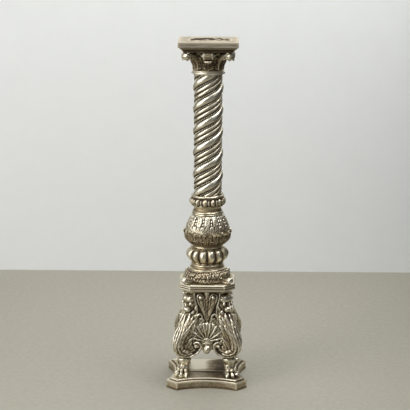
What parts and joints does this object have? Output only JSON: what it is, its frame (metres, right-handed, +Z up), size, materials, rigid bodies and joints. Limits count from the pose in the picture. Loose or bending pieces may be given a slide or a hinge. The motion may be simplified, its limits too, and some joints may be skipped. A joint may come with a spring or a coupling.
{
  "type": "torchere candle stand",
  "caption": "Tall carved and silvered wood candle stand: twisted column on turned knops, scrolled legs with lion paws, concave plinth and a raw square board on top.",
  "frame": {"origin": "middle of the plinth's underside, where the stand meets the floor", "axes": "+Z up the column, -Y the face seen in the picture, +X to the right of it"},
  "size_m": [0.256, 0.256, 1.1],
  "materials": {
    "silver_leaf": "aged silver leaf over carved wood, worn to brown in the recesses",
    "raw_wood": "raw weathered wood",
    "inner_wood": "plain unfinished wood, out of sight"
  },
  "bodies": {
    "root": {"plinth_front": "silver_leaf", "plinth_rear": "silver_leaf", "paw_front_left": "silver_leaf", "paw_front_right": "silver_leaf", "paw_rear_right": "silver_leaf", "paw_rear_left": "silver_leaf", "ankle_front_left": "silver_leaf", "ankle_front_right": "silver_leaf", "ankle_rear_right": "silver_leaf", "ankle_rear_left": "silver_leaf", "leg_front_left": "silver_leaf", "leg_front_right": "silver_leaf", "leg_rear_right": "silver_leaf", "leg_rear_left": "silver_leaf", "shell_front": "silver_leaf", "shell_right": "silver_leaf", "shell_rear": "silver_leaf", "shell_left": "silver_leaf", "platform": "silver_leaf", "foliage_drum": "silver_leaf", "spur_front_left": "silver_leaf", "spur_front_right": "silver_leaf", "spur_rear_right": "silver_leaf", "spur_rear_left": "silver_leaf", "lower_spool": "silver_leaf", "melon_knop": "silver_leaf", "knop_ring": "silver_leaf", "leaf_cup": "silver_leaf", "bulb": "silver_leaf", "upper_spool": "silver_leaf", "bead_collar": "silver_leaf", "twist_shaft": "silver_leaf", "neck_ring": "silver_leaf", "capital_bell": "silver_leaf", "volute_front_left": "silver_leaf", "volute_front_right": "silver_leaf", "volute_rear_right": "silver_leaf", "volute_rear_left": "silver_leaf", "roll_front": "silver_leaf", "roll_right": "silver_leaf", "roll_rear": "silver_leaf", "roll_left": "silver_leaf", "abacus_moulding": "silver_leaf", "top_board": "raw_wood", "core_block": "inner_wood", "knop_rod": "inner_wood", "capital_dowel": "inner_wood", "paw_pegs": "inner_wood"}
  },
  "joints": []
}
